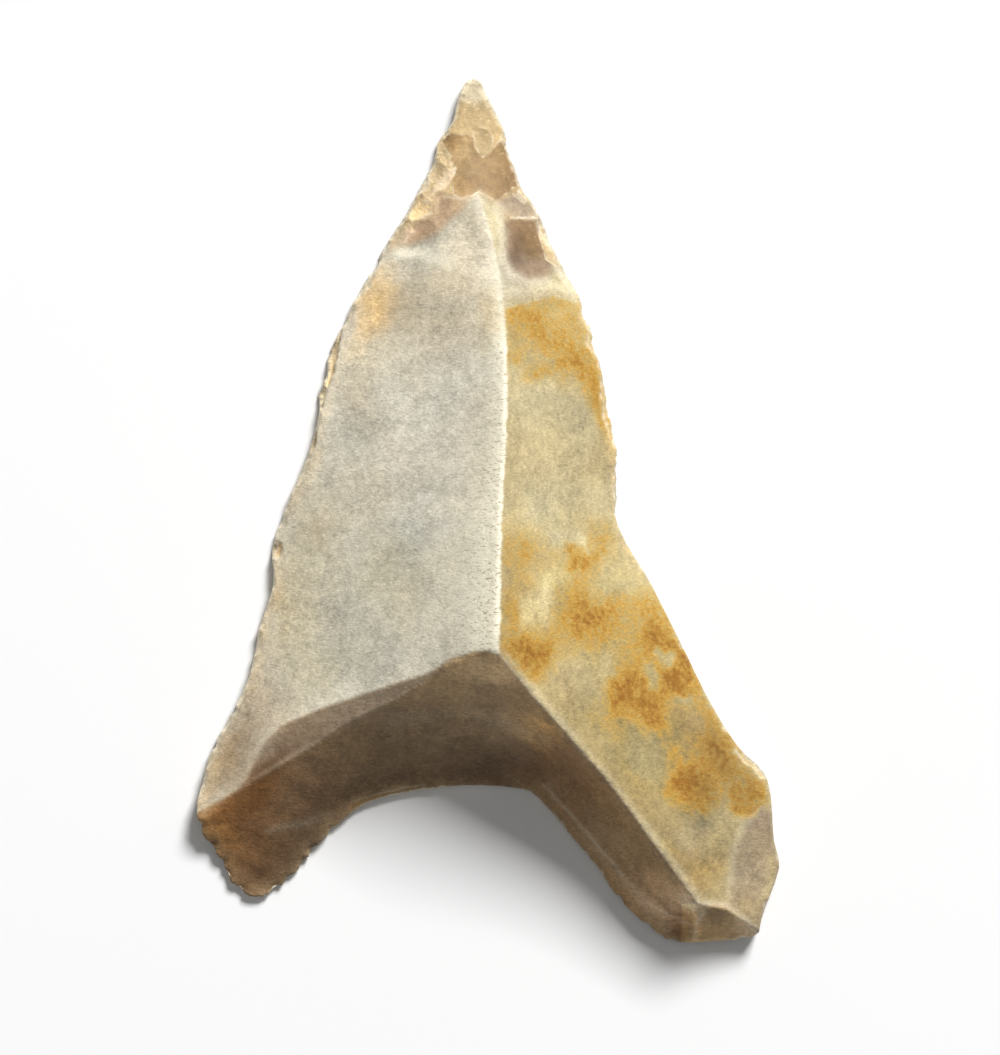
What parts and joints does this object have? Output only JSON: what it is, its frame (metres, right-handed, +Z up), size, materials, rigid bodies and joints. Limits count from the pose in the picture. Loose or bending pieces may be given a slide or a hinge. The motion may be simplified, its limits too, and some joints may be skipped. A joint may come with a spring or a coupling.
{
  "type": "stone awl",
  "caption": "Flint flake awl that lies on its flat belly, with a ridged back, a stout retouched point and a spread base hollowed between its feet.",
  "frame": {"origin": "on the ground under the middle of the bounding box, with the awl lying on its belly", "axes": "+Y towards the point, +Z up from the belly to the ridged back, +X to the right when the point is away from you"},
  "size_m": [0.0404, 0.0601, 0.0124],
  "materials": {
    "flint": "patinated flint, satin, with a warm brown stain"
  },
  "bodies": {
    "root": {"stone_awl": "flint"}
  },
  "joints": []
}
